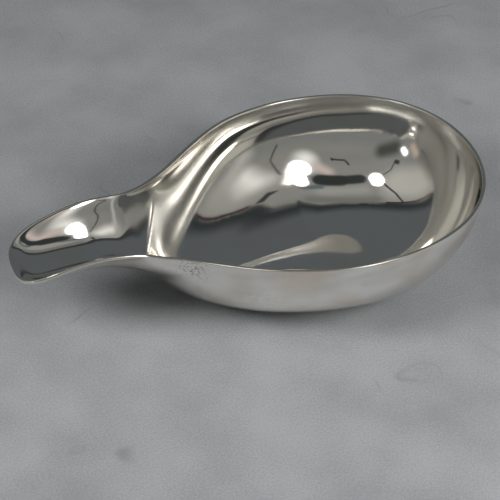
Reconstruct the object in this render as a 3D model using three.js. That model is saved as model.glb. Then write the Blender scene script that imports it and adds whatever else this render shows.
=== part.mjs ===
// A pap boat, the small sauce-boat shaped vessel from which infants and invalids were fed.
// It is raised from one sheet of silver: an egg-shaped bowl drawn out into an open gutter spout.
// Millimetres, +Z up. +X runs from the lip of the spout to the far end of the bowl, the foot of
// the boat stands on Z = 0, and the origin lies under the middle of its length.

import * as THREE from "three";
import { mergeVertices } from "three/addons/utils/BufferGeometryUtils.js";

// Lengths in plan, measured along the boat.
const LIP_CORNER_LENGTH = 9;
const SPOUT_RUN = 26.5;
const NECK_RUN = 50.2;
const BOWL_BACK = 37.3;

// Widths in plan, from rim to rim over the outside.
const LIP_WIDTH = 20.6;
const SPOUT_WIDTH = 23.8;
const BOWL_WIDTH = 66.3;

// How far the rim runs on in one direction before it turns, where it is drawn by eye.
const LIP_BLUNTNESS = 5.3;
const LIP_CORNER_EASE = 8.1;
const NECK_EASE = 14;
const SHOULDER_EASE = 24;
const BACK_EASE = 21.9;
const BACK_BLUNTNESS = 19.4;

// Heights of the rim above the table.
const RIM_HEIGHT = 26;
const LIP_DROP = 6.1;
const LIP_DROP_LENGTH = 24;
const NECK_SAG = 1.7;
const NECK_SAG_PLACE = 39.2;
const NECK_SAG_REACH = 24;

// The line of the keel: the floor of the spout, the ridge where it rolls over into the bowl, the
// front wall of the bowl, and the flat on which the boat stands.
const LIP_FLOOR_HEIGHT = 18.1;
const RIDGE_START = 27.7;
const RIDGE_HEIGHT = 14.5;
const RIDGE_ROLL = 4.4;
const RIDGE_FALL = 2.5;
const SPOUT_FLOOR_SLOPE = 0.44;
const FRONT_WALL_SLOPE = 0.73;
const FRONT_WALL_EASE = 9.9;
const FOOT_START = 64;
const FOOT_EASE = 24.4;
const RIDGE_BOW = 8;
const FOOT_WIDTH = 11.6;

// Sections across the boat. The spread is the power by which the wall climbs away from the keel, 2
// for a parabola, and the upright brings it up straight at the rim where it is over 1, and lets it
// flare where it is under 1. The bowl's back has its own pair, a full floor under a leaning wall.
const SPOUT_SPREAD = 2.45;
const SPOUT_UPRIGHT = 0.8;
const BOWL_SPREAD = 2.24;
const BOWL_UPRIGHT = 2.2;
const BACK_SPREAD = 3.6;
const BACK_UPRIGHT = 1.4;
const SECTION_CHANGE_START = 20;
const SECTION_CHANGE_END = 32;
const BACK_CHANGE_RUN = 15;

// The gauge of the sheet, and of its rim, which is left thicker when the boat is raised.
const WALL = 0.7;
const RIM_THICKNESS = 0.9;
const RIM_BAND = 3;

// Points along one side of the rim, and from the keel up to it.
const RIM_STEPS = 72;
const WALL_STEPS = 14;

const WIDEST_PLACE = SPOUT_RUN + NECK_RUN;
const OVERALL_LENGTH = WIDEST_PLACE + BOWL_BACK;
const LIP_CENTRE = LIP_CORNER_LENGTH / 2;
const KEEL_STEPS = 240;
const NARROWEST_FLOOR = 0.6;
const WIDEST_FLOOR_SHARE = 0.8;

const { clamp, lerp, smoothstep } = THREE.MathUtils;

// One side of the rim in plan, from the middle of the lip round to the far end of the bowl.
function rimPlan() {
  const taper = (SPOUT_WIDTH - LIP_WIDTH) / 2 / (SPOUT_RUN - LIP_CORNER_LENGTH);
  const cornerEase = [LIP_CORNER_LENGTH - LIP_CORNER_EASE, LIP_WIDTH / 2 - taper * LIP_CORNER_EASE];
  const neckEase = [SPOUT_RUN + NECK_EASE, SPOUT_WIDTH / 2 + taper * NECK_EASE];
  const shoulderEase = [WIDEST_PLACE - SHOULDER_EASE, BOWL_WIDTH / 2];
  const backEase = [WIDEST_PLACE + BACK_EASE, BOWL_WIDTH / 2];
  const plan = new THREE.Path();
  plan.moveTo(0, 0);
  plan.bezierCurveTo(0, LIP_BLUNTNESS, ...cornerEase, LIP_CORNER_LENGTH, LIP_WIDTH / 2);
  plan.lineTo(SPOUT_RUN, SPOUT_WIDTH / 2);
  plan.bezierCurveTo(...neckEase, ...shoulderEase, WIDEST_PLACE, BOWL_WIDTH / 2);
  plan.bezierCurveTo(...backEase, OVERALL_LENGTH, BACK_BLUNTNESS, OVERALL_LENGTH, 0);
  return plan.getSpacedPoints(RIM_STEPS);
}

// The rim lies level round the bowl, sags a little at the neck and falls away to the lip.
function rimHeight(x) {
  const lip = LIP_DROP * clamp(1 - x / LIP_DROP_LENGTH, 0, 1) ** 2;
  const fromSag = clamp((x - NECK_SAG_PLACE) / NECK_SAG_REACH, -1, 1);
  const neck = NECK_SAG * (1 - fromSag ** 2) ** 2;
  return RIM_HEIGHT - lip - neck;
}

// The keel in side view, from the lip to the flat of the foot.
function keelLine() {
  const ridgeEnd = [RIDGE_START + RIDGE_ROLL, RIDGE_HEIGHT - RIDGE_FALL];
  const rollPlace = (RIDGE_FALL - FRONT_WALL_SLOPE * RIDGE_ROLL) / (SPOUT_FLOOR_SLOPE - FRONT_WALL_SLOPE);
  const roll = [RIDGE_START + rollPlace, RIDGE_HEIGHT - SPOUT_FLOOR_SLOPE * rollPlace];
  const floorEase = RIDGE_START / 3;
  const keel = new THREE.Path();
  keel.moveTo(0, LIP_FLOOR_HEIGHT);
  keel.bezierCurveTo(
    floorEase, LIP_FLOOR_HEIGHT,
    RIDGE_START - floorEase, RIDGE_HEIGHT + SPOUT_FLOOR_SLOPE * floorEase,
    RIDGE_START, RIDGE_HEIGHT,
  );
  keel.quadraticCurveTo(...roll, ...ridgeEnd);
  keel.bezierCurveTo(
    ridgeEnd[0] + FRONT_WALL_EASE, ridgeEnd[1] - FRONT_WALL_SLOPE * FRONT_WALL_EASE,
    FOOT_START - FOOT_EASE, 0,
    FOOT_START, 0,
  );
  return keel.getSpacedPoints(KEEL_STEPS);
}

// The height of the keel at a distance from the lip.
function keelHeight(keel, x) {
  const next = keel.findIndex((point) => point.x >= x);
  if (next < 0) {
    return 0;
  }
  const before = keel[Math.max(next - 1, 0)];
  const after = keel[next];
  const share = clamp((x - before.x) / Math.max(after.x - before.x, 1e-6), 0, 1);
  return lerp(before.y, after.y, share);
}

// One section from the keel up to a point of the rim, on the outside of the sheet. Sections stand
// square to the keel, and fan out round the lip and round the back of the bowl.
function outerSection(rimPoint, keel) {
  const foot = clamp(rimPoint.x, LIP_CENTRE, WIDEST_PLACE);
  const reach = Math.hypot(rimPoint.x - foot, rimPoint.y);
  const flat = floorHalfWidth(foot, reach) / reach;
  const { spread, upright } = sectionPowers(rimPoint.x);
  const top = rimHeight(rimPoint.x);
  const section = [];
  for (let step = 0; step <= WALL_STEPS; step += 1) {
    const turn = (Math.max(step - 1, 0) / (WALL_STEPS - 1)) * (Math.PI / 2);
    const out = step === 0 ? 0 : flat + (1 - flat) * Math.sin(turn) ** (2 / spread);
    const rise = 1 - Math.max(Math.cos(turn), 0) ** (2 / upright);
    const x = lerp(foot, rimPoint.x, out);
    const floor = keelHeight(keel, Math.max(x - RIDGE_BOW * out ** 2, 0));
    section.push(new THREE.Vector3(x - OVERALL_LENGTH / 2, rimPoint.y * out, lerp(floor, top, rise)));
  }
  return section;
}

// Half the width of the flat strip along the keel, which widens into the foot.
function floorHalfWidth(foot, reach) {
  const half = lerp(NARROWEST_FLOOR, FOOT_WIDTH / 2, smoothstep(foot, RIDGE_START, FOOT_START));
  return Math.min(half, WIDEST_FLOOR_SHARE * reach);
}

// The two powers of a section, which change from spout to bowl and again round the back.
function sectionPowers(x) {
  const bowl = smoothstep(x, SECTION_CHANGE_START, SECTION_CHANGE_END);
  const back = smoothstep(x, WIDEST_PLACE - BACK_CHANGE_RUN, OVERALL_LENGTH);
  return {
    spread: lerp(SPOUT_SPREAD, lerp(BOWL_SPREAD, BACK_SPREAD, back), bowl),
    upright: lerp(SPOUT_UPRIGHT, lerp(BOWL_UPRIGHT, BACK_UPRIGHT, back), bowl),
  };
}

// The outside of the sheet, both halves of it, with the sheet's gauge at every point.
function outerSheet() {
  const keel = keelLine();
  const sections = rimPlan().map((rimPoint) => outerSection(rimPoint, keel));
  const positions = [];
  const gauges = [];
  const faces = [];
  for (const side of [1, -1]) {
    const first = positions.length / 3;
    for (const section of sections) {
      const top = section[WALL_STEPS].z;
      for (const point of section) {
        positions.push(point.x, side * point.y, point.z);
        gauges.push(lerp(RIM_THICKNESS, WALL, smoothstep(top - point.z, 0, RIM_BAND)));
      }
    }
    for (let row = 0; row < RIM_STEPS; row += 1) {
      for (let step = 0; step < WALL_STEPS; step += 1) {
        const a = first + row * (WALL_STEPS + 1) + step;
        const b = a + WALL_STEPS + 1;
        const quad = [a, b, a + 1, b, b + 1, a + 1];
        faces.push(...(side > 0 ? quad.reverse() : quad));
      }
    }
  }
  const sheet = new THREE.BufferGeometry();
  sheet.setAttribute("position", new THREE.Float32BufferAttribute(positions, 3));
  sheet.setAttribute("gauge", new THREE.Float32BufferAttribute(gauges, 1));
  sheet.setIndex(faces);
  const joined = mergeVertices(sheet, 1e-4);
  joined.setIndex(withoutSlivers(joined.index.array));
  return joined;
}

// The triangles that still have three different corners after the halves are joined.
function withoutSlivers(corners) {
  const kept = [];
  for (let at = 0; at < corners.length; at += 3) {
    const [a, b, c] = corners.slice(at, at + 3);
    if (a !== b && b !== c && c !== a) {
      kept.push(a, b, c);
    }
  }
  return kept;
}

// Gives an open sheet its gauge inwards, and closes the edge between its two faces.
function thickened(sheet) {
  sheet.computeVertexNormals();
  const outer = sheet.attributes.position;
  const normal = sheet.attributes.normal;
  const gauge = sheet.attributes.gauge;
  const positions = [...outer.array];
  for (let at = 0; at < outer.count; at += 1) {
    const depth = gauge.getX(at);
    positions.push(
      outer.getX(at) - depth * normal.getX(at),
      outer.getY(at) - depth * normal.getY(at),
      outer.getZ(at) - depth * normal.getZ(at),
    );
  }
  const corners = [...sheet.index.array];
  const faces = [...corners];
  const edges = new Set();
  for (let at = 0; at < corners.length; at += 3) {
    const [a, b, c] = corners.slice(at, at + 3);
    faces.push(outer.count + c, outer.count + b, outer.count + a);
    edges.add(`${a},${b}`);
    edges.add(`${b},${c}`);
    edges.add(`${c},${a}`);
  }
  for (const edge of edges) {
    const [a, b] = edge.split(",").map(Number);
    if (!edges.has(`${b},${a}`)) {
      faces.push(b, a, outer.count + a, b, outer.count + a, outer.count + b);
    }
  }
  const shell = new THREE.BufferGeometry();
  shell.setAttribute("position", new THREE.Float32BufferAttribute(positions, 3));
  shell.setIndex(faces);
  shell.computeVertexNormals();
  return shell;
}

// The boat itself, in polished silver gone a little warm with handling.
function boat() {
  const silver = new THREE.MeshStandardMaterial({ color: 0xd8d3c8, roughness: 0.14, metalness: 1 });
  const mesh = new THREE.Mesh(thickened(outerSheet()), silver);
  mesh.name = "boat";
  return mesh;
}

const papBoat = new THREE.Group();
papBoat.add(boat());

export default papBoat;
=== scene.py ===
"""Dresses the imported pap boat: one raised sheet of silver, on a photographer's grey paper."""

import logging
import math
from bisect import bisect_right
from dataclasses import dataclass, field
from enum import Enum, IntEnum

import bmesh
import bpy
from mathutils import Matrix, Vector, noise
from mathutils.geometry import interpolate_bezier


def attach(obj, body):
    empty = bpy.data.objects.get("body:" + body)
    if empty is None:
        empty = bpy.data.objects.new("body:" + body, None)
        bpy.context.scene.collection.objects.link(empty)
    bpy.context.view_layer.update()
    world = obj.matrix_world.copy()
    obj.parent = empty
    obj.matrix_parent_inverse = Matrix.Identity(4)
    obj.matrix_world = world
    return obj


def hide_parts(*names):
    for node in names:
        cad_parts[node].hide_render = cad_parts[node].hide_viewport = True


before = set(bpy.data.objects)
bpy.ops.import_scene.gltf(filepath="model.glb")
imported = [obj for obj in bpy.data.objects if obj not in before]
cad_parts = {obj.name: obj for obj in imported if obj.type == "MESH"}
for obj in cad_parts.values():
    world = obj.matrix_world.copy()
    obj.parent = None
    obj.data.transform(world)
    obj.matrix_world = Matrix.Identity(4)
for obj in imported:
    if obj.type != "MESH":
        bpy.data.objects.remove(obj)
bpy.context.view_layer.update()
LOG = logging.getLogger("pap_boat")
MM = 0.001
# Half the side of a grid that is 1 across
HALF_GRID = 0.5
# The shortest run that a share is worked out over
LEAST_RUN = 1e-9
# The sockets that a Mix node uses for colours
MIX_SHARE, MIX_FIRST, MIX_SECOND, MIXED = 0, 6, 7, 2


def linear(hex_colour: str) -> tuple[float, float, float, float]:
    """Turns an sRGB colour into the linear colour that a shader reads.

    Args:
        hex_colour: The colour as six hex digits after a hash sign.

    Returns:
        Linear red, green and blue, with full opacity.
    """
    values = [int(hex_colour[at : at + 2], 16) / 255 for at in (1, 3, 5)]
    red, green, blue = [v / 12.92 if v <= 0.04045 else ((v + 0.055) / 1.055) ** 2.4 for v in values]
    return red, green, blue, 1.0


def smoothstep(value: float, start: float, end: float) -> float:
    """Eases from 0 to 1 as a value goes from one place to another.

    Args:
        value: The value that is eased.
        start: Where the result leaves 0.
        end: Where the result reaches 1.

    Returns:
        The eased share, from 0 to 1.
    """
    share = min(max((value - start) / (end - start), 0.0), 1.0)
    return share * share * (3 - 2 * share)


def lerp(start: float, end: float, share: float) -> float:
    """Goes from one value to another in a straight line."""
    return start + (end - start) * share


def add_node(
    tree: bpy.types.NodeTree, kind: str, inputs: dict[str | int, object] | None = None, **settings: str
) -> bpy.types.Node:
    """Adds one node with its settings, its plain input values and its links.

    Args:
        tree: The node tree that gets the node.
        kind: The node's Blender type.
        inputs: Input names or numbers, each with a plain value or the output socket that feeds it.
        **settings: The node's own settings.

    Returns:
        The new node.
    """
    node = tree.nodes.new(kind)
    for name, value in settings.items():
        setattr(node, name, value)
    for name, value in (inputs or {}).items():
        if isinstance(value, bpy.types.NodeSocket):
            tree.links.new(value, node.inputs[name])
        else:
            node.inputs[name].default_value = value
    return node


def blank_material(name: str) -> bpy.types.Material:
    """Starts a node material that has no nodes yet.

    Args:
        name: The material's name.

    Returns:
        The empty material.
    """
    made = bpy.data.materials.new(name)
    made.use_nodes = True
    made.node_tree.nodes.clear()
    return made


def add_object(name: str, data: bpy.types.ID) -> bpy.types.Object:
    """Makes an object of a mesh, a lamp or a camera, and puts it in the scene.

    Args:
        name: The object's name.
        data: The mesh, lamp or camera.

    Returns:
        The new object.
    """
    made = bpy.data.objects.new(name, data)
    bpy.context.scene.collection.objects.link(made)
    return made


def mesh_object(name: str, mesh: bmesh.types.BMesh) -> bpy.types.Object:
    """Turns a mesh in the making into an object of the scene.

    Args:
        name: The name of the object and of its mesh.
        mesh: The mesh in the making, which is freed.

    Returns:
        The new object.
    """
    data = bpy.data.meshes.new(name)
    mesh.to_mesh(data)
    mesh.free()
    return add_object(name, data)


class SheetSide(IntEnum):
    """The faces of the sheet, in the order of the boat's material slots."""

    OUTSIDE = 0
    INSIDE = 1
    RIM = 2


class Wear(Enum):
    """How silver was last worked: the grain of its fine marks, across and along, in millimetres.

    The real marks are finer. These are as coarse as they need to be to show in the render.
    """

    BURNISHED = (0.35, 6.0)
    HANDLED = (0.6, 2.5)


@dataclass(frozen=True)
class SterlingSilver:
    """Sterling silver, raised and planished with the hammer, then burnished or worn by hands.

    The eye gets a metal that mirrors the room in soft ripples, warm in patches: partly a film of
    tarnish, and partly a painted reflection of a warm room.
    """

    name: str
    colour: str
    film_and_painted_reflection: str
    film_and_painted_reflection_amount: float
    roughness: float
    roughness_spread: float
    wear: Wear
    mark_depth: float
    film_and_painted_reflection_patch: float = 16.0
    film_and_painted_reflection_range: tuple[float, float] = (0.42, 0.68)
    satin: float = 0.0
    tarnish: str = "#6f5c49"
    tarnish_speck: float = 0.55
    tarnish_range: tuple[float, float] = (0.5, 0.68)

    def material(self) -> bpy.types.Material:
        """Makes the finish as a node material on Object coordinates.

        Returns:
            The finished material.
        """
        made = blank_material(self.name)
        tree = made.node_tree
        place = add_node(tree, "ShaderNodeTexCoord").outputs["Object"]
        patches = add_node(
            tree,
            "ShaderNodeTexNoise",
            {"Vector": place, "Scale": 1 / (self.film_and_painted_reflection_patch * MM), "Detail": 3.0, "Roughness": 0.45},
        )
        film_and_painted_reflection = add_node(
            tree,
            "ShaderNodeMapRange",
            {
                "Value": patches.outputs["Fac"],
                "From Min": self.film_and_painted_reflection_range[0],
                "From Max": self.film_and_painted_reflection_range[1],
                "To Min": 0.0,
                "To Max": self.film_and_painted_reflection_amount,
            },
            interpolation_type="SMOOTHSTEP",
        )
        # Warm patches mixed into the colour: partly a film of tarnish, partly a painted reflection of a
        # warm room
        with_film_and_painted_reflection = add_node(
            tree,
            "ShaderNodeMix",
            {
                MIX_SHARE: film_and_painted_reflection.outputs["Result"],
                MIX_FIRST: linear(self.colour),
                MIX_SECOND: linear(self.film_and_painted_reflection),
            },
            data_type="RGBA",
        )
        colour = self.tarnished(tree, place, with_film_and_painted_reflection.outputs[MIXED])
        grain = self.grain(tree, place)
        rough = add_node(
            tree,
            "ShaderNodeMapRange",
            {
                "Value": patches.outputs["Fac"],
                "From Min": 0.3,
                "From Max": 0.7,
                "To Min": self.roughness - self.roughness_spread,
                "To Max": self.roughness + self.roughness_spread,
            },
        )
        unpolished = add_node(tree, "ShaderNodeAttribute", attribute_name="satin").outputs["Fac"]
        satin = add_node(
            tree,
            "ShaderNodeMath",
            {0: unpolished, 1: self.satin, 2: rough.outputs["Result"]},
            operation="MULTIPLY_ADD",
        )
        marks = add_node(
            tree,
            "ShaderNodeBump",
            {"Height": grain, "Strength": 1.0, "Distance": self.mark_depth * MM},
        )
        shader = add_node(
            tree,
            "ShaderNodeBsdfPrincipled",
            {
                "Base Color": colour,
                "Metallic": 1.0,
                "Roughness": satin.outputs["Value"],
                "Normal": marks.outputs["Normal"],
            },
        )
        add_node(tree, "ShaderNodeOutputMaterial", {"Surface": shader.outputs["BSDF"]})
        return made

    def grain(self, tree: bpy.types.NodeTree, place: bpy.types.NodeSocket) -> bpy.types.NodeSocket:
        """Draws the fine marks of the last tool, long along the boat and narrow across it.

        Args:
            tree: The finish's node tree.
            place: The place on the boat.

        Returns:
            The marks' height, from 0 to 1.
        """
        across, along = self.wear.value
        drawn_out = add_node(
            tree,
            "ShaderNodeMapping",
            {"Vector": place, "Scale": (1 / (along * MM), 1 / (across * MM), 1 / (across * MM))},
        )
        marks = add_node(
            tree,
            "ShaderNodeTexNoise",
            {"Vector": drawn_out.outputs["Vector"], "Scale": 1.0, "Detail": 3.0},
        )
        return marks.outputs["Fac"]

    def tarnished(
        self, tree: bpy.types.NodeTree, place: bpy.types.NodeSocket, clean: bpy.types.NodeSocket
    ) -> bpy.types.NodeSocket:
        """Peppers the silver with specks where its tarnish attribute says that cloths miss it.

        Args:
            tree: The finish's node tree.
            place: The place on the boat.
            clean: The clean silver's colour.

        Returns:
            The colour with its specks.
        """
        specks = add_node(
            tree,
            "ShaderNodeTexNoise",
            {"Vector": place, "Scale": 1 / (self.tarnish_speck * MM), "Detail": 4.0},
        )
        missed = add_node(tree, "ShaderNodeAttribute", attribute_name="tarnish").outputs["Fac"]
        dark = add_node(
            tree,
            "ShaderNodeMapRange",
            {
                "Value": specks.outputs["Fac"],
                "From Min": self.tarnish_range[0],
                "From Max": self.tarnish_range[1],
                "To Min": 0.0,
                "To Max": missed,
            },
        )
        mixed = add_node(
            tree,
            "ShaderNodeMix",
            {MIX_SHARE: dark.outputs["Result"], MIX_FIRST: clean, MIX_SECOND: linear(self.tarnish)},
            data_type="RGBA",
        )
        return mixed.outputs[MIXED]


@dataclass(frozen=True)
class SeamlessPaper:
    """Seamless background paper, used before.

    The eye gets matt grey, clouded, with a fine tooth and faint scuffs. The real tooth is finer,
    and is drawn as coarse as it needs to be to show in the render. Sizes and runs are in
    millimetres, and bands and ranges are levels of a noise.
    """

    name: str = "grey_seamless_paper"
    colour: str = "#949698"
    cloud: str = "#818385"
    scuff: str = "#77787a"
    roughness: float = 0.9
    cloud_size: float = 22.0
    cloud_range: tuple[float, float] = (0.8, 1.2)
    tooth_size: float = 0.45
    scuff_run: float = 45.0
    scuff_band: float = 0.004
    scuff_amount: float = 0.8
    gaps_in_run: float = 2.6
    gap_range: tuple[float, float] = (0.55, 0.72)

    def material(self) -> bpy.types.Material:
        """Makes the paper as a node material.

        Returns:
            The finished material.
        """
        made = blank_material(self.name)
        tree = made.node_tree
        place = add_node(tree, "ShaderNodeTexCoord").outputs["Object"]
        clouds = add_node(
            tree,
            "ShaderNodeTexNoise",
            {"Vector": place, "Scale": 1 / (self.cloud_size * MM), "Detail": 5.0},
        )
        tooth = add_node(
            tree,
            "ShaderNodeTexNoise",
            {"Vector": place, "Scale": 1 / (self.tooth_size * MM), "Detail": 2.0},
        )
        both = add_node(
            tree, "ShaderNodeMath", {0: clouds.outputs["Fac"], 1: tooth.outputs["Fac"]}, operation="ADD"
        )
        share = add_node(
            tree,
            "ShaderNodeMapRange",
            {
                "Value": both.outputs["Value"],
                "From Min": self.cloud_range[0],
                "From Max": self.cloud_range[1],
                "To Min": 0.0,
                "To Max": 1.0,
            },
        )
        ground = add_node(
            tree,
            "ShaderNodeMix",
            {
                MIX_SHARE: share.outputs["Result"],
                MIX_FIRST: linear(self.colour),
                MIX_SECOND: linear(self.cloud),
            },
            data_type="RGBA",
        )
        colour = add_node(
            tree,
            "ShaderNodeMix",
            {
                MIX_SHARE: self.scuffs(tree, place),
                MIX_FIRST: ground.outputs[MIXED],
                MIX_SECOND: linear(self.scuff),
            },
            data_type="RGBA",
        )
        shader = add_node(
            tree,
            "ShaderNodeBsdfPrincipled",
            {"Base Color": colour.outputs[MIXED], "Roughness": self.roughness},
        )
        add_node(tree, "ShaderNodeOutputMaterial", {"Surface": shader.outputs["BSDF"]})
        return made

    def scuffs(self, tree: bpy.types.NodeTree, place: bpy.types.NodeSocket) -> bpy.types.NodeSocket:
        """Draws hair-fine scuffs, which come and go along the contour lines of a slow noise.

        Args:
            tree: The paper's node tree.
            place: The place on the paper.

        Returns:
            How much of each place is scuffed.
        """
        lines = add_node(
            tree,
            "ShaderNodeTexNoise",
            {"Vector": place, "Scale": 1 / (self.scuff_run * MM), "Detail": 2.0},
        )
        away = add_node(tree, "ShaderNodeMath", {0: lines.outputs["Fac"], 1: 0.5}, operation="SUBTRACT")
        width = add_node(tree, "ShaderNodeMath", {0: away.outputs["Value"]}, operation="ABSOLUTE")
        line = add_node(
            tree,
            "ShaderNodeMapRange",
            {
                "Value": width.outputs["Value"],
                "From Min": 0.0,
                "From Max": self.scuff_band,
                "To Min": 1.0,
                "To Max": 0.0,
            },
        )
        gaps = add_node(
            tree,
            "ShaderNodeTexNoise",
            {"Vector": place, "Scale": self.gaps_in_run / (self.scuff_run * MM), "Detail": 1.0},
        )
        kept = add_node(
            tree,
            "ShaderNodeMapRange",
            {
                "Value": gaps.outputs["Fac"],
                "From Min": self.gap_range[0],
                "From Max": self.gap_range[1],
                "To Min": 0.0,
                "To Max": self.scuff_amount,
            },
        )
        both = add_node(
            tree,
            "ShaderNodeMath",
            {0: line.outputs["Result"], 1: kept.outputs["Result"]},
            operation="MULTIPLY",
        )
        return both.outputs["Value"]


@dataclass(frozen=True)
class GlowingCard:
    """A lit or dark card of the studio, seen only in the silver and by its light."""

    name: str
    colour: str

    def material(self) -> bpy.types.Material:
        """Makes the card's even glow.

        Returns:
            The finished material.
        """
        made = blank_material(self.name)
        tree = made.node_tree
        glow = add_node(tree, "ShaderNodeEmission", {"Color": linear(self.colour), "Strength": 1.0})
        add_node(tree, "ShaderNodeOutputMaterial", {"Surface": glow.outputs["Emission"]})
        return made


@dataclass(frozen=True)
class LitCloth:
    """Cloth with lamps behind it: dim where no lamp is near, and clear where one shines through."""

    name: str = "lit_cloth"

    def material(self) -> bpy.types.Material:
        """Makes the cloth's glow, of the colour that its glow attribute has at each place.

        Returns:
            The finished material.
        """
        made = blank_material(self.name)
        tree = made.node_tree
        light = add_node(tree, "ShaderNodeAttribute", attribute_name="glow").outputs["Color"]
        glow = add_node(tree, "ShaderNodeEmission", {"Color": light, "Strength": 1.0})
        add_node(tree, "ShaderNodeOutputMaterial", {"Surface": glow.outputs["Emission"]})
        return made


@dataclass
class Line:
    """A line drawn through points, measured along its length."""

    points: list[Vector]
    lengths: list[float] = field(init=False)

    def __post_init__(self) -> None:
        """Measures the line once."""
        self.lengths = [0.0]
        for before, after in zip(self.points, self.points[1:]):
            self.lengths.append(self.lengths[-1] + (after - before).length)

    def run(self, passed: int) -> int:
        """Finds the run between two points that a place is on, from the points that it has passed."""
        return min(max(passed - 1, 0), len(self.points) - 2)

    def at(self, share: float) -> Vector:
        """Finds the point at a share of the line's length.

        Args:
            share: 0 at the start of the line and 1 at its end.

        Returns:
            The point on the line.
        """
        wanted = share * self.lengths[-1]
        run = self.run(bisect_right(self.lengths, wanted))
        gap = max(self.lengths[run + 1] - self.lengths[run], LEAST_RUN)
        return self.points[run].lerp(self.points[run + 1], (wanted - self.lengths[run]) / gap)

    def height(self, x: float) -> float:
        """Finds how high the line stands over a place along the boat.

        Args:
            x: The distance from the lip, in millimetres.

        Returns:
            The line's second coordinate there.
        """
        run = self.run(bisect_right(self.points, x, key=lambda point: point.x))
        start, end = self.points[run], self.points[run + 1]
        share = (x - start.x) / max(end.x - start.x, LEAST_RUN)
        return lerp(start.y, end.y, min(max(share, 0.0), 1.0))


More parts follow.
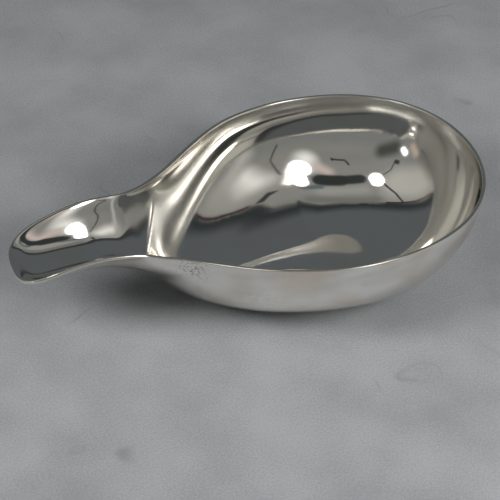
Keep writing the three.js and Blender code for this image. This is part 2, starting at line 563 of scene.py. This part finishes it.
@dataclass
class BoatForm:
    """The outside of the boat in millimetres: its rim in plan, its keel and its sections."""

    lip_corner_length: float = 9.0
    spout_run: float = 26.5
    neck_run: float = 50.41
    bowl_back: float = 37.09
    lip_width: float = 20.28
    spout_width: float = 23.87
    bowl_width: float = 65.84
    lip_bluntness: float = 5.3
    lip_corner_ease: float = 8.1
    neck_ease: float = 16.89
    shoulder_ease: float = 26.08
    back_ease: float = 21.9
    back_bluntness: float = 19.4
    rim_height: float = 26.0
    lip_drop: float = 6.1
    lip_drop_length: float = 24.0
    neck_sag: float = 1.7
    neck_sag_place: float = 39.2
    neck_sag_reach: float = 24.0
    lip_turn: float = 9.0
    lip_floor_height: float = 18.0
    ridge_start: float = 27.9
    ridge_height: float = 14.5
    ridge_roll: float = 4.5
    ridge_fall: float = 3.0
    spout_floor_slope: float = 0.6
    front_wall_slope: float = 1.5
    front_wall_ease: float = 7.4
    foot_start: float = 70.53
    foot_ease: float = 22.0
    ridge_bow: float = 6.22
    foot_width: float = 13.08
    narrowest_floor: float = 0.6
    widest_floor_share: float = 0.8
    lip_spread: float = 2.2
    spout_spread: float = 3.0
    spout_upright: float = 0.71
    bowl_spread: float = 1.71
    bowl_upright: float = 1.61
    bowl_lean: float = -0.3
    back_spread: float = 2.59
    back_upright: float = 1.67
    section_change_start: float = 26.0
    section_change_end: float = 33.5
    back_change_run: float = 15.0
    curve_points: int = 90
    floor_steps: int = 8
    wall_steps: int = 90
    rim: Line = field(init=False)
    keel: Line = field(init=False)

    def __post_init__(self) -> None:
        """Draws the rim and the keel."""
        self.rim = self.rim_plan()
        self.keel = self.keel_line()

    @property
    def widest_place(self) -> float:
        """How far from the lip the bowl is widest."""
        return self.spout_run + self.neck_run

    @property
    def length(self) -> float:
        """The boat's whole length."""
        return self.widest_place + self.bowl_back

    def curve(self, *corners: tuple[float, float]) -> list[Vector]:
        """Draws one cubic curve.

        Args:
            *corners: The start, its handle, the handle of the end, and the end.

        Returns:
            Points along the curve, from its start to its end.
        """
        start, first, second, end = [Vector(corner) for corner in corners]
        return interpolate_bezier(start, first, second, end, self.curve_points)

    def rim_plan(self) -> Line:
        """Draws one side of the rim in plan, from the middle of the lip to the bowl's far end.

        Returns:
            The rim's line.
        """
        half_lip, half_spout, half_bowl = self.lip_width / 2, self.spout_width / 2, self.bowl_width / 2
        taper = (half_spout - half_lip) / (self.spout_run - self.lip_corner_length)
        points = self.curve(
            (0, 0),
            (0, self.lip_bluntness),
            (self.lip_corner_length - self.lip_corner_ease, half_lip - taper * self.lip_corner_ease),
            (self.lip_corner_length, half_lip),
        )
        points += self.curve(
            (self.spout_run, half_spout),
            (self.spout_run + self.neck_ease, half_spout + taper * self.neck_ease),
            (self.widest_place - self.shoulder_ease, half_bowl),
            (self.widest_place, half_bowl),
        )
        points += self.curve(
            (self.widest_place, half_bowl),
            (self.widest_place + self.back_ease, half_bowl),
            (self.length, self.back_bluntness),
            (self.length, 0),
        )[1:]
        return Line(points)

    def keel_line(self) -> Line:
        """Draws the keel in side view: spout floor, ridge, front wall of the bowl, and flat foot.

        The ridge rounds the corner where the spout floor's slope would meet the front wall's.

        Returns:
            The keel's line.
        """
        start = Vector((self.ridge_start, self.ridge_height))
        end = start + Vector((self.ridge_roll, -self.ridge_fall))
        to_corner = (self.ridge_fall - self.front_wall_slope * self.ridge_roll) / (
            self.spout_floor_slope - self.front_wall_slope
        )
        corner = start + Vector((to_corner, -self.spout_floor_slope * to_corner))
        ease = self.ridge_start / 3
        points = self.curve(
            (0, self.lip_floor_height),
            (ease, self.lip_floor_height),
            (start.x - ease, start.y + self.spout_floor_slope * ease),
            start,
        )
        points += self.curve(start, start.lerp(corner, 2 / 3), end.lerp(corner, 2 / 3), end)[1:]
        points += self.curve(
            end,
            (end.x + self.front_wall_ease, end.y - self.front_wall_slope * self.front_wall_ease),
            (self.foot_start - self.foot_ease, 0),
            (self.foot_start, 0),
        )[1:]
        return Line(points)

    def rim_level(self, x: float) -> float:
        """Finds the rim's height: level round the bowl, sagging at the neck, falling to the lip.

        Args:
            x: The distance from the lip.

        Returns:
            The height over the table.
        """
        lip = self.lip_drop * min(max(1 - x / self.lip_drop_length, 0.0), 1.0) ** 2
        from_sag = min(max((x - self.neck_sag_place) / self.neck_sag_reach, -1.0), 1.0)
        return self.rim_height - lip - self.neck_sag * (1 - from_sag**2) ** 2

    def section_shape(self, x: float) -> tuple[float, float, float]:
        """Finds the shape of a section, which changes from spout to bowl and round the back.

        Args:
            x: The distance from the lip.

        Returns:
            How far the floor spreads, how upright the wall ends, and how far it leans out.
        """
        bowl = smoothstep(x, self.section_change_start, self.section_change_end)
        back = smoothstep(x, self.widest_place - self.back_change_run, self.length)
        spout = lerp(self.lip_spread, self.spout_spread, min(x / self.section_change_start, 1.0))
        spread = lerp(spout, lerp(self.bowl_spread, self.back_spread, back), bowl)
        upright = lerp(self.spout_upright, lerp(self.bowl_upright, self.back_upright, back), bowl)
        return spread, upright, self.bowl_lean * bowl * (1 - back)

    def section(self, around: float) -> Line:
        """Draws one section of the outside of the sheet, from the keel up to the rim.

        Args:
            around: The share of the rim's length, from the lip to the far end.

        Returns:
            The section, in metres, in the frame of the part.
        """
        rim = self.rim.at(around)
        foot = min(max(rim.x, self.lip_turn), self.widest_place)
        spread, upright, lean = self.section_shape(rim.x)
        reach = math.hypot(rim.x - foot, rim.y)
        widening = smoothstep(foot, self.ridge_start, self.foot_start)
        half_floor = lerp(self.narrowest_floor, self.foot_width / 2, widening)
        flat = min(half_floor / reach, self.widest_floor_share)
        steps = [(flat * step / self.floor_steps, 0.0) for step in range(self.floor_steps)]
        for step in range(self.wall_steps + 1):
            turn = math.radians(90 * step / self.wall_steps)
            rise = 1 - max(math.cos(turn), 0.0) ** (2 / upright)
            out = flat + (1 - flat) * lerp(math.sin(turn) ** (2 / spread), rise, lean)
            steps.append((out, rise))
        points = []
        for out, rise in steps:
            x = lerp(foot, rim.x, out)
            floor = self.keel.height(max(x - self.ridge_bow * out**2, 0.0))
            height = lerp(floor, self.rim_level(rim.x), rise)
            points.append(Vector((x - self.length / 2, rim.y * out, height)) * MM)
        return Line(points)


@dataclass(frozen=True)
class TarnishSpot:
    """A round spot that cloths miss.

    Its place is behind the lip, across and up, and its reach is its radius, all in millimetres. Its
    strength is how thick the specks are at its middle, up to 1.
    """

    place: tuple[float, float, float]
    reach: float
    strength: float


@dataclass
class PapBoat:
    """The boat: one sheet of silver, raised from a flat disc and left thicker at its rim.

    Places along the boat are in millimetres from the lip, heights from the table and depths from
    the rim.
    """

    form: BoatForm = field(default_factory=BoatForm)
    wall: float = 0.7
    rim_thickness: float = 0.9
    rim_band: float = 3.0
    rim_rounding: float = 0.34
    rim_rounding_steps: int = 4
    rim_edge_angle: float = 50.0
    rim_row: float = 0.5
    rows_around: int = 220
    rows_up: int = 64
    seam_gap: float = 1e-4
    weld_gap: float = 2e-3
    hammer_mark: float = 7.0
    hammer_depth: float = 0.03
    hammer_fade: tuple[float, float] = (0.5, 4.0)
    mean_depth_share: float = 0.5
    broad_share: float = 0.42
    fine_share: float = 0.12
    fine_mark_share: float = 0.45
    fine_mark_shift: tuple[float, float, float] = (7.3, 1.9, 4.1)
    front_satin: tuple[float, float] = (27.0, 33.0)
    front_satin_end: float = 40.0
    front_satin_fade: tuple[float, float] = (-8.0, 4.0)
    front_satin_share: float = 0.6
    back_satin: tuple[float, float] = (96.0, 107.0)
    back_satin_heights: tuple[float, float] = (3.0, 9.0)
    back_satin_share: float = 0.22
    rim_satin: float = 1.4
    rim_satin_band: tuple[float, float] = (2.5, 5.5)
    rim_satin_start: tuple[float, float] = (40.0, 60.0)
    tarnish_spots: tuple[TarnishSpot, ...] = (
        TarnishSpot((38.0, -16.0, 21.5), 6.0, 0.95),
        TarnishSpot((34.0, -14.5, 20.5), 5.0, 0.35),
        TarnishSpot((52.0, -24.0, 14.0), 9.0, 0.25),
    )
    # Worn by hands: broad soft reflections, warm where the film lies, which is partly a painted
    # reflection of a warm room
    outside: SterlingSilver = SterlingSilver(
        name="sterling_silver_worn_by_hands",
        colour="#faf8f3",
        film_and_painted_reflection="#e6d6c6",
        film_and_painted_reflection_amount=0.7,
        roughness=0.2,
        roughness_spread=0.02,
        wear=Wear.HANDLED,
        mark_depth=0.004,
    )
    # Burnished: sharp reflections, softer where the burnisher never reached
    inside: SterlingSilver = SterlingSilver(
        name="sterling_silver_burnished",
        colour="#f8f6f2",
        film_and_painted_reflection="#f0ebe2",
        film_and_painted_reflection_amount=0.5,
        roughness=0.05,
        roughness_spread=0.02,
        wear=Wear.BURNISHED,
        mark_depth=0.0008,
        satin=0.15,
    )
    # Rubbed by cloths: a thin bright line round the mouth
    rim: SterlingSilver = SterlingSilver(
        name="sterling_silver_rubbed_edge",
        colour="#f8f5ee",
        film_and_painted_reflection="#efe6d6",
        film_and_painted_reflection_amount=0.4,
        roughness=0.12,
        roughness_spread=0.03,
        wear=Wear.HANDLED,
        mark_depth=0.002,
    )

    def from_lip(self, place: Vector) -> float:
        """Finds how far a place of the mesh is from the lip, in millimetres."""
        return place.x / MM + self.form.length / 2

    def below_rim(self, place: Vector) -> float:
        """Finds how far a place of the mesh is below the rim, in millimetres."""
        return self.form.rim_level(self.from_lip(place)) - place.z / MM

    def hammered(self, place: Vector) -> float:
        """Finds how far the hammer left a place below the true curve, fading out at the rim.

        Args:
            place: The place, in metres.

        Returns:
            The depth, in metres.
        """
        fine_mark = self.hammer_mark * self.fine_mark_share * MM
        broad = noise.noise(place / (self.hammer_mark * MM))
        fine = noise.noise(place / fine_mark + Vector(self.fine_mark_shift))
        fade = smoothstep(self.below_rim(place), *self.hammer_fade)
        share = self.mean_depth_share + self.broad_share * broad + self.fine_share * fine
        return self.hammer_depth * MM * fade * share

    def row_share(self, row: int, section: Line) -> float:
        """Spaces the rows evenly up a section, and leaves a row of its own for the rounded rim.

        Args:
            row: The row, counted from the keel.
            section: The section that the row crosses.

        Returns:
            The share of the section's length.
        """
        if row == self.rows_up:
            return 1.0
        return row / (self.rows_up - 1) * (1 - self.rim_row * MM / section.lengths[-1])

    def sheet(self) -> bmesh.types.BMesh:
        """Shapes the outside of the sheet from a flat grid and its mirror image.

        Returns:
            The open sheet, with its normals outwards.
        """
        mesh = bmesh.new()
        columns, rows = self.rows_around, self.rows_up
        bmesh.ops.create_grid(mesh, x_segments=columns, y_segments=rows, size=HALF_GRID)
        sections = [self.form.section(column / columns) for column in range(columns + 1)]
        for vert in mesh.verts:
            section = sections[round((vert.co.x + HALF_GRID) * columns)]
            vert.co = section.at(self.row_share(round((vert.co.y + HALF_GRID) * rows), section))
        near_side = mesh.verts[:] + mesh.edges[:] + mesh.faces[:]
        bmesh.ops.mirror(mesh, geom=near_side, axis="Y", merge_dist=self.seam_gap * MM)
        bmesh.ops.remove_doubles(mesh, verts=mesh.verts, dist=self.weld_gap * MM)
        bmesh.ops.dissolve_degenerate(mesh, dist=self.seam_gap * MM, edges=mesh.edges)
        bmesh.ops.recalc_face_normals(mesh, faces=mesh.faces)
        lowest = min(mesh.faces, key=lambda face: face.calc_center_median().z)
        if lowest.normal.z > 0:
            bmesh.ops.reverse_faces(mesh, faces=mesh.faces)
        return mesh

    def planish(self, mesh: bmesh.types.BMesh) -> None:
        """Gives the sheet the faint ripple of the planishing hammer, inwards only.

        Args:
            mesh: The open sheet.
        """
        mesh.normal_update()
        moves = [(vert, vert.normal * self.hammered(vert.co)) for vert in mesh.verts]
        for vert, move in moves:
            vert.co -= move

    def leave_satin(self, mesh: bmesh.types.BMesh) -> None:
        """Marks where the burnisher never reached a full polish.

        These are the front wall and the back of the bowl, and a band under the bowl's rim.

        Args:
            mesh: The open sheet.
        """
        satin = mesh.verts.layers.float.new("satin")
        for vert in mesh.verts:
            x, height = self.from_lip(vert.co), vert.co.z / MM
            end = self.front_satin_end + height
            past = smoothstep(x, end + self.front_satin_fade[0], end + self.front_satin_fade[1])
            front = smoothstep(x, *self.front_satin) * (1 - past) * self.front_satin_share
            back = self.back_satin_share * smoothstep(x, *self.back_satin)
            back *= smoothstep(height, *self.back_satin_heights)
            band = self.rim_satin * (1 - smoothstep(self.below_rim(vert.co), *self.rim_satin_band))
            band *= smoothstep(x, *self.rim_satin_start)
            vert[satin] = max(front, back, band)

    def tarnish(self, mesh: bmesh.types.BMesh) -> None:
        """Marks where tarnish specks gather: on the near side, under the rim of the neck and below.

        Args:
            mesh: The open sheet.
        """
        missed = mesh.verts.layers.float.new("tarnish")
        for vert in mesh.verts:
            place = vert.co / MM + Vector((self.form.length / 2, 0, 0))
            vert[missed] = max(
                spot.strength * (1 - smoothstep((place - Vector(spot.place)).length, 0.0, spot.reach))
                for spot in self.tarnish_spots
            )

    def build(self) -> bpy.types.Object:
        """Makes the boat, gives the sheet its gauge and rounds the edges of the rim.

        Returns:
            The finished object.
        """
        mesh = self.sheet()
        self.planish(mesh)
        self.leave_satin(mesh)
        self.tarnish(mesh)
        for face in mesh.faces:
            face.smooth = True
        piece = mesh_object("pap_boat", mesh)
        self.gauge(piece)
        return piece

    def gauge(self, piece: bpy.types.Object) -> None:
        """Thickens the sheet inwards, more at the rim, and rounds the rim's two edges.

        Args:
            piece: The open sheet.
        """
        thickness = piece.vertex_groups.new(name="gauge")
        for vert in piece.data.vertices:
            thinning = smoothstep(self.below_rim(vert.co), 0.0, self.rim_band)
            share = lerp(1.0, self.wall / self.rim_thickness, thinning)
            thickness.add([vert.index], share, "REPLACE")
        solid = piece.modifiers.new("gauge", "SOLIDIFY")
        solid.thickness = self.rim_thickness * MM
        solid.offset = -1.0
        solid.vertex_group = thickness.name
        solid.material_offset = SheetSide.INSIDE
        solid.material_offset_rim = SheetSide.RIM
        edges = piece.modifiers.new("rubbed_edges", "BEVEL")
        edges.width = self.rim_rounding * MM
        edges.segments = self.rim_rounding_steps
        edges.limit_method = "ANGLE"
        edges.angle_limit = math.radians(self.rim_edge_angle)
        edges.harden_normals = False

    def dress(self, piece: bpy.types.Object) -> None:
        """Gives each side of the sheet its finish.

        Args:
            piece: The boat.
        """
        finishes = {
            SheetSide.OUTSIDE: self.outside,
            SheetSide.INSIDE: self.inside,
            SheetSide.RIM: self.rim,
        }
        for side in SheetSide:
            piece.data.materials.append(finishes[side].material())

    def place(self) -> bpy.types.Object:
        """Builds and dresses the boat and sets it in the frame.

        Returns:
            The finished object.
        """
        piece = self.build()
        self.dress(piece)
        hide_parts("boat")
        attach(piece, "root")
        return piece


@dataclass(frozen=True)
class Patch:
    """A soft-edged patch on the dome: a band between two places, in degrees, and what it glows."""

    start: tuple[float, float]
    end: tuple[float, float]
    width: float
    soft: float
    colour: str
    light: float = 1.0

    def share(self, across: float, back: float) -> float:
        """Finds how much of a place's glow comes from the patch.

        Args:
            across: Degrees from overhead to the photographer's right.
            back: Degrees from overhead towards the photographer.

        Returns:
            The share, from 0 to 1.
        """
        run_across, run_back = self.end[0] - self.start[0], self.end[1] - self.start[1]
        from_across, from_back = across - self.start[0], back - self.start[1]
        squared = run_across**2 + run_back**2
        along = min(max((from_across * run_across + from_back * run_back) / squared, 0.0), 1.0)
        away = math.hypot(from_across - run_across * along, from_back - run_back * along)
        return 1 - smoothstep(away, (self.width - self.soft) / 2, (self.width + self.soft) / 2)


@dataclass(frozen=True)
class Lamp:
    """A soft lamp over the table: its place in degrees, distance and breadth in metres, and watts."""

    across: float
    back: float
    distance: float
    breadth: float
    power: float


@dataclass(frozen=True)
class Card:
    """A thin card of the studio, curved round the boat.

    Its ends and its width are in degrees from straight overhead: across to the photographer's
    right, and back towards the photographer. Its distance is in metres.
    """

    finish: GlowingCard
    start: tuple[float, float]
    end: tuple[float, float]
    width: float
    distance: float = 0.7


@dataclass(frozen=True)
class Viewpoint:
    """The photograph's camera.

    The lens and the sensor's width are in millimetres, and so is its place. It looks down by its
    dip and to the right by its turn, both in degrees, and sees from near to far, in metres.
    """

    lens: float = 140.03
    sensor_width: float = 36.0
    place: tuple[float, float, float] = (-121.007, -332.583, 304.221)
    dip: float = 39.790
    turn: float = 20.048
    near: float = 0.01
    far: float = 10.0


@dataclass
class Studio:
    """The photographer's table: grey paper, a light tent over the near side, and two lamps.

    Places over the table are in degrees from straight overhead, across to the photographer's right
    and back towards the photographer, and distances are in metres.
    """

    heading: float = 20.05
    centre: Vector = field(default_factory=lambda: Vector((24.0, 16.0, 6.0)) * MM)
    dome_distance: float = 0.8
    dome_reach: float = 89.0
    dome_cell: float = 1.1
    tent_edge: tuple[tuple[float, float], ...] = (
        (-90.0, -24.0),
        (-68.0, -17.0),
        (-60.0, -16.0),
        (-50.0, -11.5),
        (-40.0, -8.0),
        (-28.0, -3.5),
        (-14.0, 0.0),
        (0.0, -1.0),
        (12.0, -4.5),
        (22.0, -2.0),
        (30.0, 4.0),
        (38.0, 4.5),
        (50.0, 2.0),
        (62.0, -1.0),
        (90.0, -9.0),
    )
    tent_edge_blur: float = 0.8
    edge_shade_run: tuple[float, float] = (4.0, 14.0)
    tent_hem: tuple[float, float] = (58.0, 76.0)
    patches_past_edge: float = 3.0
    tent: str = "#83837f"
    far_side: str = "#54585a"
    edge_shade: str = "#2f3335"
    below_hem: str = "#767876"
    patches: tuple[Patch, ...] = (
        # Where the tent glows more or less than its own grey
        Patch((-62, 4), (-46, 14), 30, 20, "#adada7"),
        Patch((-80, 0), (-80, 35), 14, 14, "#666662"),
        Patch((-22, 1), (18, 1), 9, 9, "#6e6e6b"),
        Patch((-16, 15), (12, 13), 9, 9, "#939490"),
        Patch((44, 12), (64, 10), 18, 20, "#979893"),
        Patch((43, 20), (52, 24), 12, 14, "#e0e0dc"),
        Patch((62, 22), (66, 38), 12, 14, "#a9a9a4"),
        Patch((-30, 52), (30, 54), 14, 16, "#7c7c78"),
        Patch((26, 40), (26, 47), 14, 13, "#e6e6e2"),
        Patch((10, 36), (17, 40), 9, 10, "#bfb1ac"),
        Patch((-54, 50), (-40, 53), 13, 10, "#454744"),
        Patch((-72, 30), (-72, 38), 6, 8, "#b9aa9c"),
        # A small bright opening low on the left
        Patch((-62, 39), (-61.5, 43), 4.5, 2.5, "#ffffff", 3.0),
        # What stands dark between the lamps
        Patch((-15, 28), (0, 27), 10.5, 2.5, "#323736"),
        Patch((0, 26.5), (14, 25.5), 12.5, 2.5, "#303433"),
        Patch((14, 17.5), (24, 14.5), 4.5, 3, "#586266"),
        # The left lamp and the right one, shining through the cloth
        Patch((-29, 23), (-28, 27), 11.0, 2.0, "#fffdf8", 4.5),
        Patch((-32, 20), (-25, 20.5), 3.0, 1.5, "#fffdf8", 4.5),
        Patch((28, 34), (28.5, 36.5), 13.0, 2.0, "#fffdf8", 4.5),
        Patch((26.5, 20), (30, 32), 9.0, 2.0, "#fffdf8", 4.5),
    )
    card_cells: tuple[int, int] = (24, 12)
    paper: SeamlessPaper = SeamlessPaper()
    paper_reach: float = 3.0
    room: str = "#56595b"
    view: Viewpoint = Viewpoint()
    shades: dict[str, Vector] = field(init=False)

    def __post_init__(self) -> None:
        """Turns the cloths' colours into light."""
        cloths = {
            "edge": self.edge_shade,
            "far": self.far_side,
            "tent": self.tent,
            "hem": self.below_hem,
        }
        self.shades = {name: Vector(linear(colour)[:3]) for name, colour in cloths.items()}

    def direction(self, across: float, back: float) -> Vector:
        """Finds a direction on the dome.

        Args:
            across: Degrees from overhead to the photographer's right.
            back: Degrees from overhead towards the photographer.

        Returns:
            The direction, of length 1.
        """
        tilt = math.radians(math.hypot(across, back))
        turn = math.atan2(across, -back) + math.radians(self.heading)
        level = math.sin(tilt)
        return Vector((level * math.sin(turn), level * math.cos(turn), math.cos(tilt)))

    def hang(self, name: str, card: Card) -> None:
        """Hangs one card on the dome.

        Args:
            name: The card's name.
            card: Its place, size and finish.
        """
        mesh = bmesh.new()
        columns, rows = self.card_cells
        bmesh.ops.create_grid(mesh, x_segments=columns, y_segments=rows, size=HALF_GRID)
        run = Vector(card.end) - Vector(card.start)
        side = Vector((-run.y, run.x)).normalized() * card.width
        for vert in mesh.verts:
            spot = Vector(card.start) + run * (vert.co.x + HALF_GRID) + side * vert.co.y
            vert.co = self.centre + self.direction(spot.x, spot.y) * card.distance
        self.hide(mesh_object(name, mesh), card.finish)

    def hide(self, card: bpy.types.Object, finish: GlowingCard | LitCloth) -> None:
        """Makes an object part of the studio, which only light and reflections see.

        Args:
            card: The card or dome.
            finish: Its glow.
        """
        card.data.materials.append(finish.material())
        card.visible_camera = False

    def edge_at(self, across: float) -> float:
        """Finds where the tent's edge crosses overhead.

        Args:
            across: Degrees from overhead to the photographer's right.

        Returns:
            The edge's place, in degrees from overhead towards the photographer.
        """
        for (left, left_back), (right, right_back) in zip(self.tent_edge, self.tent_edge[1:]):
            if across <= right:
                return lerp(left_back, right_back, (across - left) / (right - left))
        return self.tent_edge[-1][1]

    def glow(self, across: float, back: float) -> Vector:
        """Finds what the dome glows at a place: far side, tent, hem, and the patches over them.

        Args:
            across: Degrees from overhead to the photographer's right.
            back: Degrees from overhead towards the photographer.

        Returns:
            The light, red, green and blue, 1 for white.
        """
        inside = back - self.edge_at(across)
        far_share = smoothstep(-inside, *self.edge_shade_run)
        light = self.shades["edge"].lerp(self.shades["far"], far_share)
        tent_share = smoothstep(inside, -self.tent_edge_blur, self.tent_edge_blur)
        light = light.lerp(self.shades["tent"], tent_share)
        if back > 0:
            hem_share = smoothstep(math.hypot(across, back), *self.tent_hem)
            light = light.lerp(self.shades["hem"], hem_share)
        if inside > -self.patches_past_edge:
            for patch in self.patches:
                share = patch.share(across, back)
                if share:
                    light = light.lerp(Vector(linear(patch.colour)[:3]) * patch.light, share)
        return light

    def dome(self) -> None:
        """Stretches the dome of cloth that the silver mirrors, brighter here and darker there."""
        cells = round(2 * self.dome_reach / self.dome_cell)
        mesh = bmesh.new()
        bmesh.ops.create_grid(mesh, x_segments=cells, y_segments=cells, size=self.dome_reach)
        outside = [vert for vert in mesh.verts if vert.co.length > self.dome_reach]
        bmesh.ops.delete(mesh, geom=outside, context="VERTS")
        light = mesh.verts.layers.float_color.new("glow")
        for vert in mesh.verts:
            across, back = vert.co.x, vert.co.y
            vert[light] = (*self.glow(across, back), 1.0)
            vert.co = self.centre + self.direction(across, back) * self.dome_distance
        self.hide(mesh_object("dome", mesh), LitCloth())

    def cards(self) -> None:
        """Hangs the tent's seams, its bound edge and what shows of the camera."""
        seam = GlowingCard("tent_seam", "#403c42")
        bar = GlowingCard("tent_bar", "#363738")
        edge = GlowingCard("tent_edge", "#33181e")
        plan = {
            "seam_left": Card(seam, (-41, -7), (-39, 5), 1.8),
            "seam_left_mid": Card(seam, (-39, 5), (-33, 19), 1.8, 0.705),
            "seam_left_low": Card(seam, (-35, 29), (-43, 31), 1.2),
            "seam_left_end": Card(seam, (-43, 31), (-49, 37), 1.3, 0.705),
            "blob_left": Card(bar, (-53, 34), (-49, 38), 4),
            "seam_right": Card(bar, (31, 5), (31, 12), 2.6),
            "seam_right_mid": Card(seam, (35, 26), (45, 39), 0.9, 0.705),
            "seam_right_low": Card(seam, (45, 39), (48, 56), 1.0),
            "edge_left": Card(edge, (-68, -16.5), (-50, -11), 1.6),
            "edge_mid": Card(edge, (-50, -11), (-28, -3.2), 1.5, 0.705),
            "edge_right": Card(edge, (34, 4.2), (74, -4.5), 1.4),
            "camera_body": Card(bar, (-8, 44.5), (-5, 49.5), 1.8, 0.66),
            "camera_lens": Card(bar, (-5, 50), (6, 50.5), 1.8, 0.65),
            "camera_grip": Card(bar, (5.5, 49), (7, 52), 1.7, 0.66),
        }
        for name, card in plan.items():
            self.hang(name, card)

    def lamps(self) -> None:
        """Sets the soft lamps, which only light: what the silver mirrors of them is on the dome."""
        plan = {
            "lamp_left": Lamp(across=-44.0, back=24.0, distance=0.46, breadth=0.16, power=1.07),
            "lamp_right": Lamp(across=46.0, back=31.0, distance=0.46, breadth=0.21, power=1.86),
        }
        for name, lamp in plan.items():
            data = bpy.data.lights.new(name, "AREA")
            data.shape = "DISK"
            data.size = lamp.breadth
            data.energy = lamp.power
            light = add_object(name, data)
            towards = self.direction(lamp.across, lamp.back)
            light.location = self.centre + towards * lamp.distance
            light.rotation_euler = towards.to_track_quat("Z", "Y").to_euler()
            light.visible_glossy = False

    def table(self) -> None:
        """Lays the paper under the boat."""
        mesh = bmesh.new()
        bmesh.ops.create_grid(mesh, x_segments=1, y_segments=1, size=self.paper_reach)
        paper = mesh_object("paper", mesh)
        paper.data.materials.append(self.paper.material())

    def surroundings(self) -> None:
        """Gives the rest of the room its even grey."""
        world = bpy.data.worlds.new("room")
        bpy.context.scene.world = world
        world.use_nodes = True
        tree = world.node_tree
        tree.nodes.clear()
        glow = add_node(tree, "ShaderNodeBackground", {"Color": linear(self.room), "Strength": 1.0})
        add_node(tree, "ShaderNodeOutputWorld", {"Surface": glow.outputs["Background"]})

    def camera(self) -> None:
        """Sets the camera at the photograph's place and lens."""
        view = self.view
        data = bpy.data.cameras.new("camera")
        data.lens = view.lens
        data.sensor_width = view.sensor_width
        data.clip_start = view.near
        data.clip_end = view.far
        camera = add_object("camera", data)
        camera.location = Vector(view.place) * MM
        camera.rotation_euler = (math.radians(90 - view.dip), 0.0, math.radians(-view.turn))
        bpy.context.scene.camera = camera

    def place(self) -> None:
        """Sets up the whole studio."""
        self.surroundings()
        self.table()
        self.dome()
        self.lamps()
        self.cards()
        self.camera()


def main() -> None:
    """Builds the boat and the studio round it, and reports each."""
    logging.basicConfig(level=logging.INFO, format="%(message)s")
    bpy.context.scene.view_settings.view_transform = "Standard"
    piece = PapBoat().place()
    LOG.info("boat: %d faces before its gauge", len(piece.data.polygons))
    Studio().place()
    LOG.info("studio: set")


if __name__ == "__main__":
    main()
